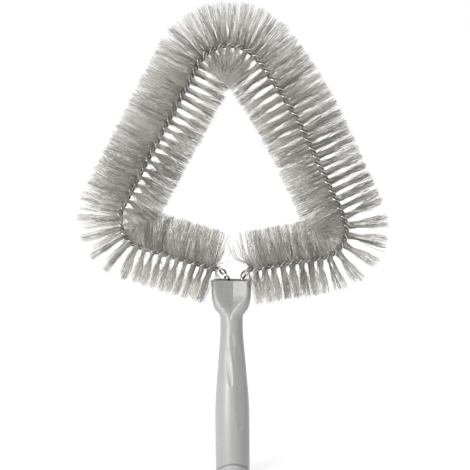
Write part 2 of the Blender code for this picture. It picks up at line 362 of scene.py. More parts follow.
def geometry_tree(name, inputs):
    """An empty Geometry Nodes tree with named inputs, and the outputs of its input node."""
    tree = bpy.data.node_groups.new(name, "GeometryNodeTree")
    add_sockets(tree, "INPUT", [("Geometry", "Geometry"), *inputs])
    add_sockets(tree, "OUTPUT", [("Geometry", "Geometry")])
    return tree, node(tree, "NodeGroupInput").outputs


def stored(tree, label, kind="FLOAT"):
    """The value that the geometry holds under that name."""
    return node(tree, "GeometryNodeInputNamedAttribute", {"Name": label}, data_type=kind).outputs[0]


def store(geometry, label, value):
    inputs = {"Geometry": geometry, "Name": label, "Value": value}
    kind = "FLOAT_VECTOR" if value.type == "VECTOR" else "FLOAT"
    return node(geometry.id_data, "GeometryNodeStoreNamedAttribute", inputs, data_type=kind,
                domain="POINT").outputs[0]


def end_tree(geometry, material):
    """Gives the grown piece its material and leads it out of the tree."""
    tree = geometry.id_data
    coated = node(tree, "GeometryNodeSetMaterial", {"Geometry": geometry, "Material": material})
    node(tree, "NodeGroupOutput", {0: coated.outputs[0]})
    print(tree.name, "has", len(tree.nodes), "nodes")


print("Tree tools ready")


# %% Grow a piece on its line
def grow(name, line, tree, values):
    """Runs a tree on a line and keeps the result as one plain mesh."""
    grower = line.modifiers.new("Grow", "NODES")
    grower.node_group = tree
    for socket in tree.interface.items_tree:
        if socket.in_out == "INPUT" and socket.name in values:
            grower[socket.identifier] = values[socket.name]
    graph = bpy.context.evaluated_depsgraph_get()
    mesh = bpy.data.meshes.new_from_object(line.evaluated_get(graph), depsgraph=graph,
                                           preserve_all_data_layers=True)
    line.modifiers.remove(grower)
    bpy.data.objects.remove(line)
    mesh.name = name
    return in_scene(name, mesh)


print("Growing ready")

# %% [markdown]
# ## Effects that several finishes share
# Nothing real has one flat colour. Moulded plastic has faint cloudy areas, and wire and
# filaments vary along their length. One node group makes soft clouds, and another makes
# hairlines, so that each finish can use them at its own scale.


# %% Soft clouds
def shader_group(name, inputs, outputs):
    """An empty shader node group, the outputs of its input node, and its output node."""
    tree = bpy.data.node_groups.new(name, "ShaderNodeTree")
    add_sockets(tree, "INPUT", inputs)
    add_sockets(tree, "OUTPUT", outputs)
    return tree, node(tree, "NodeGroupInput").outputs, node(tree, "NodeGroupOutput")


def off_grey(tree, given, detail, roughness):
    """How far a noise lies above or below its middle."""
    noise = node(tree, "ShaderNodeTexNoise", {
        "Vector": given["Vector"], "Scale": given["Scale"], "Detail": detail,
        "Roughness": roughness})
    return minus(noise.outputs["Fac"], 0.5)


CLOUDS, given, made = shader_group(
    "soft_clouds",
    [("Vector", "Vector"), ("Scale", "Float", 50.0), ("Contrast", "Float", 1.5)],
    [("Cloud", "Float")])
spread = times(off_grey(CLOUDS, given, 4.0, 0.6), given["Contrast"])
feed(made, {"Cloud": plus(spread, 0.5, clamp=True)})
print("Group:", CLOUDS.name)

# %% Hairlines along one direction
HAIRLINES, given, made = shader_group(
    "hairlines",
    [("Vector", "Vector"), ("Scale", "Float", 200.0), ("Share", "Float", 0.1)],
    [("Line", "Float")])
off_middle = maths("ABSOLUTE", off_grey(HAIRLINES, given, 2.0, 0.5))
thin = maths("DIVIDE", off_middle, given["Share"])
feed(made, {"Line": minus(1.0, thin, clamp=True)})
print("Group:", HAIRLINES.name)


# %% Helpers for a finish
def effect(group, vector, **values):
    """The output of a shared effect that reads this pattern position."""
    inputs = {"Vector": vector, **{key.capitalize(): value for key, value in values.items()}}
    return node(vector.id_data, "ShaderNodeGroup", inputs, node_tree=group).outputs[0]


def finish_of(name):
    """A new material, its tree, its shader and the position on the piece."""
    made = bpy.data.materials.new(name)
    made.use_nodes = True
    tree = made.node_tree
    place = node(tree, "ShaderNodeTexCoord").outputs["Object"]
    return made, tree, tree.nodes["Principled BSDF"], place


def carried(tree, label):
    """A value that the piece's own mesh carries."""
    return node(tree, "ShaderNodeAttribute", attribute_name=label).outputs["Fac"]


def bumped(height, strength, distance):
    """The surface's direction with fine relief added."""
    inputs = {"Strength": strength, "Distance": distance, "Height": height}
    return node(height.id_data, "ShaderNodeBump", inputs).outputs[0]


print("Materials can be made")

# %% [markdown]
# ## The drawn steel wire
# Galvanised wire is grey and fairly bright. Drawing it through a die leaves hairlines
# that run along it, and the zinc is dull in some places and brighter in others. The outer
# crests are polished and painted much paler: partly zinc rubbed bright by the bristles and
# the tool, partly a painted highlight. The mesh carries the distance along the wire and
# the place round it, so the hairlines can follow every turn of the twist.

# %% Make the steel
DULL_ZINC = (0.15, 0.147, 0.14, 1)
BRIGHT_ZINC = (0.30, 0.297, 0.29, 1)
RUBBED_AND_HIGHLIT_ZINC = (0.74, 0.735, 0.72, 1)
DRAWN_LINE = (0.22, 0.215, 0.205, 1)

STEEL, tree, shader, place = finish_of("drawn_galvanised_steel")
drawn = node(tree, "ShaderNodeCombineXYZ", {
    0: times(carried(tree, "stem_distance"), 60.0),
    1: times(carried(tree, "around"), 9.0)}).outputs[0]
lines = effect(HAIRLINES, drawn, scale=3.0, share=0.12)
zinc = effect(CLOUDS, place, scale=420.0, contrast=2.2)
# The outer crests are painted pale: partly zinc rubbed bright, partly a painted highlight
raised = minus(carried(tree, "crest"), 0.6)
rubbed_and_highlit = times(raised, 2.5, clamp=True)
colour = blended(zinc, DULL_ZINC, BRIGHT_ZINC)
colour = blended(rubbed_and_highlit, colour, RUBBED_AND_HIGHLIT_ZINC)
feed(shader, {
    "Base Color": blended(times(lines, 0.35), colour, DRAWN_LINE),
    "Metallic": 1.0,
    "Roughness": times_plus(rubbed_and_highlit, -0.20, 0.44),
    "Normal": bumped(lines, strength=0.25, distance=0.0001)})
print("Finish:", STEEL.name)

# %% [markdown]
# ## The two wires
# Each wire is a round rod wound round the middle line of the stem. The tree moves the
# points of that line sideways by the wire's offset, and sweeps a circle along them. The
# second wire is the same tree with the offset turned round, so the two always fit.

# %% Build the wire tree
WIRE_RADIUS = 0.00095
WIRE_OFFSET = 0.0018
POINTS_PER_TURN = 24
WIRE_SIDES = 12

WIRE_TREE, given = geometry_tree("twisted_wire", [
    ("Offset", "Float", WIRE_OFFSET), ("Radius", "Float", WIRE_RADIUS),
    ("Sides", "Int", WIRE_SIDES), ("Material", "Material")])
here = node(WIRE_TREE, "GeometryNodeInputPosition").outputs[0]
sideways = vectors("SCALE", stored(WIRE_TREE, "beside", "FLOAT_VECTOR"),
                   scale=given["Offset"])
line = store(given["Geometry"], "heart", here)
line = node(WIRE_TREE, "GeometryNodeSetPosition",
            {"Geometry": line, "Offset": sideways}).outputs[0]
curve = node(WIRE_TREE, "GeometryNodeMeshToCurve", {"Mesh": line}).outputs[0]
circle = node(WIRE_TREE, "GeometryNodeCurvePrimitiveCircle",
              {"Resolution": given["Sides"], "Radius": given["Radius"]}).outputs["Curve"]
part_way = node(WIRE_TREE, "GeometryNodeSplineParameter").outputs["Factor"]
rim = store(circle, "around", part_way)
rod = node(WIRE_TREE, "GeometryNodeCurveToMesh",
           {"Curve": curve, "Profile Curve": rim, "Fill Caps": True}).outputs[0]
rod = node(WIRE_TREE, "GeometryNodeRealizeInstances", {"Geometry": rod}).outputs[0]
# How far each point lies out from the middle of the stem: 0 between the wires, 1 outside
far = vectors("DISTANCE", here, stored(WIRE_TREE, "heart", "FLOAT_VECTOR"))
far = minus(far, WIRE_OFFSET - WIRE_RADIUS)
rod = store(rod, "crest", maths("DIVIDE", far, 2 * WIRE_RADIUS))
end_tree(rod, given["Material"])


# %% Wind both wires
def wire_line(name):
    count = round(turns_made(STEM_LENGTH) * POINTS_PER_TURN)
    points, beside, distances = [], [], []
    for number in range(count + 1):
        distance = STEM_LENGTH * number / count
        point, side = stem_at(distance)
        angle = -2 * math.pi * turns_made(distance)
        points.append(point)
        beside.append(Vector((0, math.cos(angle), 0)) - side * math.sin(angle))
        distances.append(distance)
    return line_piece(name, points, {"beside": beside, "stem_distance": distances})


for letter, offset in (("a", WIRE_OFFSET), ("b", -WIRE_OFFSET)):
    wire = grow("stem_wire_" + letter, wire_line("stem_wire_" + letter), WIRE_TREE,
                {"Offset": offset, "Radius": WIRE_RADIUS, "Sides": WIRE_SIDES,
                 "Material": STEEL})
    wire.data.shade_smooth()
    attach(wire, "root")
    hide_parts("wire_strand_" + letter)
    print(wire.name, len(wire.data.polygons), "faces")

# %% [markdown]
# ## The filament finish
# The filaments are extruded plastic, grey with a slightly warm tint. No two batches of
# the cut fibre match, so each filament has its own tone, and neighbours that were cut
# together share theirs. Near the stem the plastic is painted paler, a painted fill light
# against the shade of the crowded roots.

# %% Make the filament plastic
DARK_FIBRE = (0.13, 0.121, 0.102, 1)
PALE_FIBRE = (0.955, 0.93, 0.868, 1)
PAINTED_FILL_FIBRE = (0.84, 0.82, 0.77, 1)

FILAMENT, tree, shader, place = finish_of("bristle_plastic")
batch = effect(CLOUDS, place, scale=35.0, contrast=2.0)
mixed = times_plus(carried(tree, "tone"), 0.8,
              times(batch, 0.2))
# Paler towards the stem: a painted fill light against the shade between the roots
near_stem = minus(1.0, carried(tree, "along"), clamp=True)
colour = blended(mixed, DARK_FIBRE, PALE_FIBRE)
grain = effect(CLOUDS, place, scale=2500.0, contrast=1.5)
feed(shader, {
    "Base Color": blended(times(near_stem, 0.35), colour, PAINTED_FILL_FIBRE),
    "Roughness": times_plus(batch, 0.2, 0.26),
    "Normal": bumped(grain, strength=0.15, distance=0.0001)})
print("Finish:", FILAMENT.name)

# %% [markdown]
# ## The spiral of bristles
# On the real brush the filaments are laid between the wires before the twist. Each turn
# then swings them round, so they form a screw surface, and from the front it looks like
# a row of fans. The tree walks along the stem, gives each filament the twist's direction
# at its place, adds the small errors of the real thing, and stands a thin three-sided
# rod there. Every second filament stands for the other end of the one before it.

# %% Start the bristle tree
BRISTLE_LOOK = {
    "Filament Radius": 0.00016, "Middle Reach": 0.0363, "Splay": 0.025, "Bunch Width": 0.0008,
    "Bunch Pull": 0.6, "Bunch Lean": 0.04, "Curl": 0.0010, "Crimp": 0.0020,
    "Uneven Trim": 0.04}

TREE, given = geometry_tree("bristle_spiral", [
    ("Filaments", "Int", 1000), ("Seed", "Int", 1), ("Material", "Material"),
    *[(label, "Float", value) for label, value in BRISTLE_LOOK.items()]])

curve = node(TREE, "GeometryNodeMeshToCurve", {"Mesh": given["Geometry"]}).outputs[0]
places = node(TREE, "GeometryNodeResampleCurve",
              {"Curve": curve, "Count": given["Filaments"]}).outputs[0]
index = node(TREE, "GeometryNodeInputIndex").outputs[0]
places = store(places, "other_end", maths("MODULO", index, 2.0))
other_end = stored(TREE, "other_end")
distance = stored(TREE, "stem_distance")
turns = stored(TREE, "turns")
side = stored(TREE, "side", "FLOAT_VECTOR")
print("Places along the stem:", len(TREE.nodes), "nodes")

# %% Draw neighbours together in bunches
WAVERS_PER_METRE = 420.0
# In bunch widths, how far the border between two bunches wanders
BORDER_DRIFT = 1.6

bunch_width = given["Bunch Width"]
waver = node(TREE, "ShaderNodeTexNoise", {"W": times(distance, WAVERS_PER_METRE), "Scale": 1.0},
             noise_dimensions="1D").outputs["Fac"]
counted = maths("DIVIDE", times_plus(waver, times(bunch_width, BORDER_DRIFT), distance),
                bunch_width)
bunch_number = maths("FLOOR", counted)
off_bunch = times(minus(minus(counted, bunch_number), 0.5), bunch_width)
pulled = times(off_bunch, given["Bunch Pull"])
bunch = plus(times(bunch_number, 2.0), other_end)
print("Bunches:", len(TREE.nodes), "nodes")


# %% Find the middle of each fan
# Each half turn makes one fan, which the wires pinch towards its middle. On the outer
# side of a bend the fans are stretched, and there each one parts in two: a little way
# out, every quarter turn draws together on its own middle.
def from_middle(parts, middle_at):
    """How far along the stem a filament stands from the middle of its part of a turn."""
    counted = times(turns, parts)
    number = maths("FLOOR", plus(counted, 0.5 - middle_at))
    return times(minus(counted, plus(number, middle_at)), MEAN_PITCH / parts)


off_fan = from_middle(2.0, middle_at=0.0)
off_quarter = from_middle(4.0, middle_at=0.5)
print("Fans:", len(TREE.nodes), "nodes")

# %% Follow the twist's direction
angle = times_plus(turns, -2 * math.pi, times(other_end, math.pi))
angle = plus(angle, times(pulled, 2 * math.pi / MEAN_PITCH))
inward = maths("COSINE", angle)
lean = moved(scaled(side, inward), scaled((0, 1, 0), maths("SINE", angle)))
travel = vectors("CROSS_PRODUCT", side, (0, 1, 0))
is_inward = maths("GREATER_THAN", inward, 0.0)


def by_side(label):
    """The line's value for the side of the triangle that the filament points to."""
    outer = stored(TREE, label + "_outward")
    return times_plus(is_inward, minus(stored(TREE, label + "_inward"), outer), outer)


parting = times(times(stored(TREE, "parting"), times(inward, -1.0, clamp=True)), off_quarter)
pinching = times(by_side("pinch"), off_fan)
# What draws together also has to close the angle that a bend opens between filaments
opened = times(stored(TREE, "bend"), inward)
opening = minus(maths("DIVIDE", 1.0, given["Middle Reach"]), opened)
lean = moved(lean, scaled(travel, minus(times(parting, opened), times(pulled, opening))))
print("Directions:", len(TREE.nodes), "nodes")


# %% Add the errors of a real brush
def chance(low, high, shift, kind="FLOAT", bunch=None):
    """A random number or direction for each filament, or for each bunch of them."""
    first, output = (0, 0) if kind == "FLOAT_VECTOR" else (2, 1)
    inputs = {"Seed": plus(given["Seed"], shift), first: low, first + 1: high}
    if bunch is not None:
        inputs["ID"] = bunch
    return node(TREE, "FunctionNodeRandomValue", inputs, data_type=kind).outputs[output]


def any_way(shift, bunch=None):
    return chance((-1.0, -1.0, -1.0), (1.0, 1.0, 1.0), shift, "FLOAT_VECTOR", bunch)


lean = moved(lean, scaled(moved(any_way(1), any_way(2)), given["Splay"]))
lean = moved(lean, scaled(any_way(7, bunch), given["Bunch Lean"]))
lean = vectors("NORMALIZE", lean)
curl = scaled(any_way(3), given["Curl"])
print("Errors:", len(TREE.nodes), "nodes")

# %% Work out how far each filament reaches
# Filaments half way between the triangle's plane and the brush's depth reach further by
# a quarter of this share, so that a fan has a blunt end
BLUNTNESS = 0.36

squared = times(inward, inward)
beyond = minus(by_side("reach"), given["Middle Reach"])
blunt = times_plus(times(squared, minus(1.0, squared)), BLUNTNESS, 1.0)
reach = times(times_plus(beyond, squared, given["Middle Reach"]), blunt)
reach = times(reach, minus(1.0, times(chance(0.0, 1.0, 4), given["Uneven Trim"])))
print("Reach:", len(TREE.nodes), "nodes")

# %% Close the slots between the fans
# Near the stem the wires pinch each fan together, and a slot stays open between two
# fans. Further out its filaments swing aside, cross each other and close the slot.
OWN_SWING = (-0.8, 0.8)
BUNCH_SWING = (-0.3, 0.3)

swing = plus(chance(*OWN_SWING, 9), chance(*BUNCH_SWING, 10, bunch=bunch))
swing = scaled(travel, times(swing, by_side("swing")))
slots_past = maths("DIVIDE", times(reach, maths("ABSOLUTE", inward)), by_side("slot"))
print("Slots:", len(TREE.nodes), "nodes")

# %% Give each filament a tone
# Inside a bend the crowded filaments are painted paler, a painted fill light against the shade they
# cast on each other
PAINTED_FILL_IN_BEND = 0.012
OWN_TONE = (-0.2, 0.6)
BUNCH_TONE = (-0.2, 1.0)

tone = plus(chance(*OWN_TONE, 5), chance(*BUNCH_TONE, 8, bunch=bunch))
# Painted fill light on the crowded filaments inside the bends
tone = plus(tone, times(opened, PAINTED_FILL_IN_BEND, clamp=True), clamp=True)
print("Tones:", len(TREE.nodes), "nodes")

# %% Stand the filaments up
position = node(TREE, "GeometryNodeInputPosition").outputs[0]
rod = node(TREE, "GeometryNodeMeshCone", {
    "Vertices": 3, "Side Segments": 6, "Radius Top": 0.85, "Radius Bottom": 1.0,
    "Depth": 1.0}).outputs["Mesh"]
rod = store(rod, "along", node(TREE, "ShaderNodeSeparateXYZ", {0: position}).outputs["Z"])
for label, value in [("curl", curl), ("swing", swing), ("slots_past", slots_past),
                     ("parted", scaled(travel, times(parting, -1.0))),
                     ("pinched", scaled(travel, times(pinching, -1.0))), ("tone", tone)]:
    places = store(places, label, value)
upright = node(TREE, "FunctionNodeAlignRotationToVector", {"Vector": lean}, axis="Z").outputs[0]
roll = node(TREE, "FunctionNodeAxisAngleToRotation",
            {"Axis": (0, 0, 1), "Angle": chance(0.0, 2 * math.pi, 6)}).outputs[0]
turned = node(TREE, "FunctionNodeRotateRotation", {"Rotation": upright, "Rotate By": roll},
              rotation_space="LOCAL").outputs[0]
thick = given["Filament Radius"]
size = node(TREE, "ShaderNodeCombineXYZ", {0: thick, 1: thick, 2: reach}).outputs[0]
missing = times(stored(TREE, "missing"), maths("MAXIMUM", inward, 0.0))
present = maths("GREATER_THAN", chance(0.0, 1.0, 11), missing)
rods = node(TREE, "GeometryNodeInstanceOnPoints", {
    "Points": places, "Selection": present, "Instance": rod, "Rotation": turned,
    "Scale": size}).outputs[0]
rods = node(TREE, "GeometryNodeRealizeInstances", {"Geometry": rods}).outputs[0]
print("Filaments stand:", len(TREE.nodes), "nodes")

# %% Bend the filaments
# The filaments are crimped, so each one wavers on its way out
CRIMPS_PER_METRE = 190.0
CRIMP_SHIFT = 30000.0
# Shares of a filament's length over which it leaves the wires' grip, and over which a
# parted fan draws together; and shares of a slot's length over which the slot closes
COMES_FREE = (0.04, 0.16)
DRAWS_TOGETHER = (0.12, 0.60)
SLOT_CLOSES = (0.35, 1.1)


def rising(value, start, end):
    """A smooth rise from 0 at one value to 1 at another."""
    return node(TREE, "ShaderNodeMapRange", {"Value": value, "From Min": start, "From Max": end},
                interpolation_type="SMOOTHSTEP").outputs["Result"]


part_way = stored(TREE, "along")
free = rising(part_way, *COMES_FREE)
closed = rising(times(part_way, stored(TREE, "slots_past")), *SLOT_CLOSES)
own_curl = stored(TREE, "curl", "FLOAT_VECTOR")
crimp = node(TREE, "ShaderNodeTexNoise", {
    "Vector": moved(scaled(position, CRIMPS_PER_METRE), scaled(own_curl, CRIMP_SHIFT)),
    "Scale": 1.0, "Detail": 0.0}).outputs["Color"]
bent = scaled(own_curl, maths("POWER", part_way, 2.0))
for label, share in [("swing", closed), ("parted", rising(part_way, *DRAWS_TOGETHER)),
                     ("pinched", times(free, minus(1.0, closed)))]:
    bent = moved(bent, scaled(stored(TREE, label, "FLOAT_VECTOR"), share))
bent = moved(bent, scaled(vectors("SUBTRACT", crimp, (0.5, 0.5, 0.5)),
                          times(free, given["Crimp"])))
rods = node(TREE, "GeometryNodeSetPosition", {"Geometry": rods, "Offset": bent}).outputs[0]
end_tree(rods, given["Material"])

# %% [markdown]
# ## Seven stretches of bristles
# The bristles begin a little after the first bend out of the handle and end just before
# the last one. They are cut into the same seven stretches as the CAD model, so that each
# stretch replaces its own CAD part. The ends that face the handle are clipped shorter,
# so that they don't brush over the grip. What changes along the stem is kept in small
# tables, read on straight lines between their rows.

# %% Cut the stem into stretches
FIRST_BRISTLE = BENDS[0][1] + 0.0035
LAST_BRISTLE = BENDS[-1][0] + 0.002

borders = [FIRST_BRISTLE, *[end for bend in BENDS[1:-1] for end in bend], LAST_BRISTLE]
STRETCHES = list(zip(["left_base", "left_corner", "left_side", "apex", "right_side",
                      "right_corner", "right_base"], borders, borders[1:]))
print("Bristles from", round(FIRST_BRISTLE * 1000, 1), "to", round(LAST_BRISTLE * 1000, 1), "mm")

# %% Tables of the slots
# In thousandths: distance along the stem; then how long the slots are, how far filaments
# swing to close them and how tightly each fan is pinched
INNER_SLOTS = np.array([
    (38, 12, 16, 0), (42, 12, 13, 0), (46, 1, 3.6, 0), (105, 1, 3.6, 0), (114, 1, 4.4, 0),
    (128, 1, 4.4, 200), (133, 9, 4.4, 450), (153, 9, 4.4, 380), (160, 9, 4.4, 360),
    (180, 10, 4.4, 280), (215, 13, 4.6, 240), (240, 19, 4.4, 190), (265, 27, 4, 150),
    (300, 29, 3.8, 120), (312, 6, 4, 100), (340, 6, 4, 100), (360, 10, 4, 200),
    (372, 27, 3.5, 100), (385, 29, 3.3, 100), (440, 29, 3.5, 120), (455, 20, 4, 120),
    (500, 14, 4, 120), (520, 6, 4.2, 100), (530, 2, 4.4, 0), (568, 2, 4.4, 0),
    (578, 1, 4.4, 0), (632, 1, 4.4, 0), (635, 12, 14, 0), (640, 12, 16, 0)]) / 1000
OUTER_SLOTS = np.array([
    (38, 12, 8, 0), (42, 12, 6, 0), (46, 15, 3.3, 50), (105, 16, 3.2, 60), (114, 16, 2.8, 0),
    (128, 15, 2.8, 0), (133, 15, 2.8, 0), (153, 20, 3.6, 0), (160, 1, 4.6, 0),
    (265, 1, 4.6, 0), (300, 1, 4.4, 0), (312, 22, 4.4, 0), (360, 22, 4.4, 0),
    (372, 24, 3.8, 120), (385, 26, 3.4, 150), (440, 27, 3.2, 180), (455, 28, 2.8, 200),
    (500, 28, 2.8, 200), (520, 26, 2.8, 200), (530, 24, 2.8, 0), (568, 24, 2.8, 0),
    (578, 13, 3.6, 0), (610, 12, 3.6, 0), (632, 11, 3.8, 0), (635, 12, 6, 0), (640, 12, 8, 0)]) / 1000
print("Rows of slots:", len(INNER_SLOTS), "and", len(OUTER_SLOTS))

# %% Tables of reach, parting and wear
# Distance along the stem and reach on the inner side, which is less inside the corners
REACH_INWARD = [
    (0.040, 0.0352), (0.112, 0.0352), (0.133, 0.0235), (0.155, 0.0350), (0.310, 0.0350),
    (0.333, 0.0255), (0.360, 0.0362), (0.524, 0.0360), (0.549, 0.0215), (0.572, 0.0356),
    (0.640, 0.0352)]
# Distance along the stem, and how much the fans on the outer side part in two
PARTING = [
    (0.104, 0.0), (0.116, 0.45), (0.150, 0.55), (0.165, 0.0), (0.295, 0.0), (0.310, 0.7),
    (0.360, 0.7), (0.375, 0.0), (0.520, 0.0), (0.529, 0.8), (0.570, 0.7), (0.580, 0.0)]
# Distance along the stem, and the share of filaments that were rubbed off inside a corner
MISSING = [
    (0.112, 0.0), (0.133, 0.45), (0.155, 0.0), (0.300, 0.0), (0.322, 0.7), (0.345, 0.75),
    (0.365, 0.0), (0.520, 0.0), (0.535, 0.75), (0.560, 0.8), (0.580, 0.0)]


def read_table(table, distances, column=1):
    """One column of a table at each distance."""
    known, *columns = zip(*table)
    return np.interp(distances, known, columns[column - 1]).tolist()


print("Reach at the left corner:", read_table(REACH_INWARD, [0.133])[0], "m")

# %% Draw the line of a stretch
REACH_OUTWARD = 0.0385
TRIM_TOWARDS_HANDLE = 0.0065
LINE_STEP = 0.0005


def bristle_line(name, start, end):
    count = math.ceil((end - start) / LINE_STEP)
    distances = [start + (end - start) * number / count for number in range(count + 1)]
    points, sides = zip(*[stem_at(distance) for distance in distances])
    values = {
        "side": sides,
        "turns": [turns_made(distance) for distance in distances],
        "stem_distance": distances,
        "bend": [1 / (run_at(distance)[2] or math.inf) for distance in distances],
        "reach_outward": [REACH_OUTWARD - TRIM_TOWARDS_HANDLE * max(0.0, side.z) ** 2
                          for side in sides],
        "reach_inward": read_table(REACH_INWARD, distances),
        "parting": read_table(PARTING, distances),
        "missing": read_table(MISSING, distances)}
    for column, label in enumerate(["slot", "swing", "pinch"], start=1):
        values[label + "_inward"] = read_table(INNER_SLOTS, distances, column)
        values[label + "_outward"] = read_table(OUTER_SLOTS, distances, column)
    return line_piece(name, points, values)


print("A point every", LINE_STEP * 1000, "mm")

# %% Grow the bristles
FILAMENTS_PER_METRE = 32000

for number, (stretch, start, end) in enumerate(STRETCHES, start=1):
    name = "filaments_" + stretch
    filaments = round((end - start) * FILAMENTS_PER_METRE)
    piece = grow(name, bristle_line(name, start, end), TREE,
                 {"Filaments": filaments, "Seed": 10 * number, "Material": FILAMENT,
                  **BRISTLE_LOOK})
    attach(piece, "root")
    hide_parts("bristles_" + stretch)
    print(name, filaments, "ends,", sum(len(f.vertices) - 2 for f in piece.data.polygons),
          "triangles")

# %% [markdown]
# ## The moulded handle: its main shape
# The handle is one hollow moulding. Its grip is round, it narrows to a neck, and then it
# widens to a flat head that takes the stem. Such a shape could be sculpted, but here it
# follows a rule: at each height there is one rounded section, so the mesh is worked out
# ring by ring. Each section has a half width, a half depth and a squareness, which is 2
# for an oval and more for a box with soft corners.

# %% Sections of the handle
HANDLE_LENGTH = 0.1805
GRIP_RADIUS = 0.0157
HEAD_HALF_WIDTH = 0.0178
# Height, half width, half depth and squareness
HANDLE_SECTIONS = np.array([
    (0.0000, 0.01560, 0.01560, 2.0), (0.0280, GRIP_RADIUS, GRIP_RADIUS, 2.0),
    (0.0540, GRIP_RADIUS, GRIP_RADIUS, 2.0), (0.0690, 0.01530, 0.01530, 2.0),
    (0.0820, 0.01445, 0.01445, 2.0), (0.0980, 0.01315, 0.01315, 2.0),
    (0.1160, 0.01160, 0.01160, 2.0), (0.1290, 0.01060, 0.01060, 2.0),
    (0.1400, 0.01025, 0.01025, 2.0), (0.1465, 0.01035, 0.01025, 2.0),
    (0.1492, 0.01125, 0.01025, 2.2), (0.1518, 0.01325, 0.01020, 2.5),
    (0.1548, 0.01520, 0.01015, 3.0), (0.1590, 0.01665, 0.01010, 3.6),
    (0.1650, 0.01755, 0.01000, 4.2), (0.1720, HEAD_HALF_WIDTH, 0.00990, 4.5),
    (HANDLE_LENGTH, HEAD_HALF_WIDTH, 0.00980, 4.5)])


def flowing(table, heights):
    """Values between the rows of a table, on a curve that never overshoots a row."""
    known, values = table[:, 0], table[:, 1:]
    gaps = np.diff(known)[:, None]
    slopes = np.diff(values, axis=0) / gaps
    same_way = slopes[:-1] * slopes[1:] > 0
    safe = np.where(same_way, slopes[:-1] + slopes[1:], 1.0)
    inner = np.where(same_way, 2 * slopes[:-1] * slopes[1:] / safe, 0.0)
    tilt = np.vstack([slopes[:1], inner, slopes[-1:]])
    row = np.clip(np.searchsorted(known, heights, side="right") - 1, 0, len(known) - 2)
    gap = gaps[row]
    share = ((heights - known[row])[:, None] / gap)
    return (values[row] * (1 + 2 * share) * (1 - share) ** 2 + values[row + 1] * share ** 2
            * (3 - 2 * share) + gap * (tilt[row] * share * (1 - share) ** 2
                                       + tilt[row + 1] * share ** 2 * (share - 1)))


print("Narrowest at", round(float(HANDLE_SECTIONS[:, 1].min()) * 1000, 2), "mm")


# %% The outside of a section
def surface_radius(angle, size):
    """Distance from the handle's axis to its outside, for a direction round it."""
    half_width, half_depth, squareness = size[..., 0], size[..., 1], size[..., 2]
    across = (np.abs(np.sin(angle)) / half_width) ** squareness
    through = (np.abs(np.cos(angle)) / half_depth) ** squareness
    return (across + through) ** (-1 / squareness)


def front_depth(x, size):
    """How far the front surface lies before the axis at that X."""
    share = np.clip(np.abs(x) / size[..., 0], 0, 0.999)
    return size[..., 1] * (1 - share ** size[..., 2]) ** (1 / size[..., 2])


grip_size = flowing(HANDLE_SECTIONS, np.array([0.05]))
print("Grip radius:", round(float(surface_radius(0.0, grip_size)[0]) * 1000, 2), "mm")

# %% [markdown]
# ## The shield on the head
# The front of the head has a recess like a shield: two flat faces that lean in towards a
# sharp crease in the middle. It starts as a point on the neck and is widest at the top.
# A recess cut into an even grid gets ragged edges. So the columns of the mesh are drawn
# together here, and one pair of them always runs along the recess's two edges.

# %% Sections of the shield
SHIELD_FOOT_Z = 0.1440
# Height; where the crease lies, as X and as a depth before the axis; and how much the
# left and the right face rise from it
SHIELD_SECTIONS = np.array([
    (SHIELD_FOOT_Z, 0.0000, 0.0120, 0.225, 0.900), (0.1475, 0.0000, 0.0101, 0.225, 0.900),
    (0.1502, 0.0003, 0.0096, 0.225, 0.900), (0.1546, 0.0014, 0.0086, 0.225, 0.800),
    (0.1582, 0.0021, 0.0075, 0.225, 0.580), (0.1609, 0.0024, 0.0068, 0.225, 0.450),
    (0.1635, 0.0024, 0.0062, 0.225, 0.340), (0.1680, 0.0024, 0.0056, 0.225, 0.265),
    (0.1760, 0.0024, 0.0052, 0.225, 0.265), (0.1820, 0.0024, 0.0052, 0.225, 0.265)])
LEAST_HALF_SHIELD = 0.0010
SAMPLES = 300


def shield_at(heights):
    """Crease X, crease depth, left and right rise of the shield, each as one column."""
    return [values[:, None] for values in flowing(SHIELD_SECTIONS, heights).T]


def shield_edge(heights, size, side):
    """X where the face on the left (-1) or right (1) meets the outside of the head."""
    middle, crease, left_rise, right_rise = shield_at(heights)
    reach = np.linspace(0, 1, SAMPLES)[None, :] * (size[:, :1] * 0.98 - side * middle)
    face = crease + (right_rise if side > 0 else left_rise) * reach
    gap = front_depth(middle + side * reach, size[:, None, :]) - face
    inside = np.minimum(np.sum(np.cumprod(gap > 0, axis=1), axis=1), SAMPLES - 1)
    last_inside = np.maximum(inside - 1, 0)
    row = np.arange(len(heights))
    before, after = gap[row, last_inside], gap[row, inside]
    share = np.where(inside > 0, before / np.maximum(before - after, 1e-9), 0)
    found = (last_inside + np.clip(share, 0, 1)) * reach[:, 1]
    return middle[:, 0] + side * np.maximum(found, LEAST_HALF_SHIELD)


top = np.array([0.176])
print("Shield at the top, from", [round(float(shield_edge(top, flowing(HANDLE_SECTIONS, top),
                                  side)[0]) * 1000, 1) for side in (-1, 1)], "mm")

# %% [markdown]
# ## Rows and columns
# Heights are close together where something happens, at the rounded rim, the collar's
# groove and the head, and wider apart on the plain grip. Near the bottom each row is
# lifted at the front and back, because the collar's groove rises there in an arch. The
# groove then lies along a row, and stays crisp.

# %% Choose the rows and the columns
def steps(start, end, count):
    return np.linspace(start, end, count, endpoint=False)


COLLAR_FOOT_Z = 0.0048
COLLAR_TOP_Z = 0.0074
ARCH_TOP_Z = 0.0300
ROWS = np.concatenate([
    steps(0.0012, COLLAR_FOOT_Z, 9), steps(COLLAR_FOOT_Z, COLLAR_TOP_Z, 22),
    steps(COLLAR_TOP_Z, ARCH_TOP_Z, 26), steps(ARCH_TOP_Z, 0.1400, 120),
    steps(0.1400, 0.1470, 14), steps(0.1470, 0.1600, 44), steps(0.1600, 0.1796, 36)])
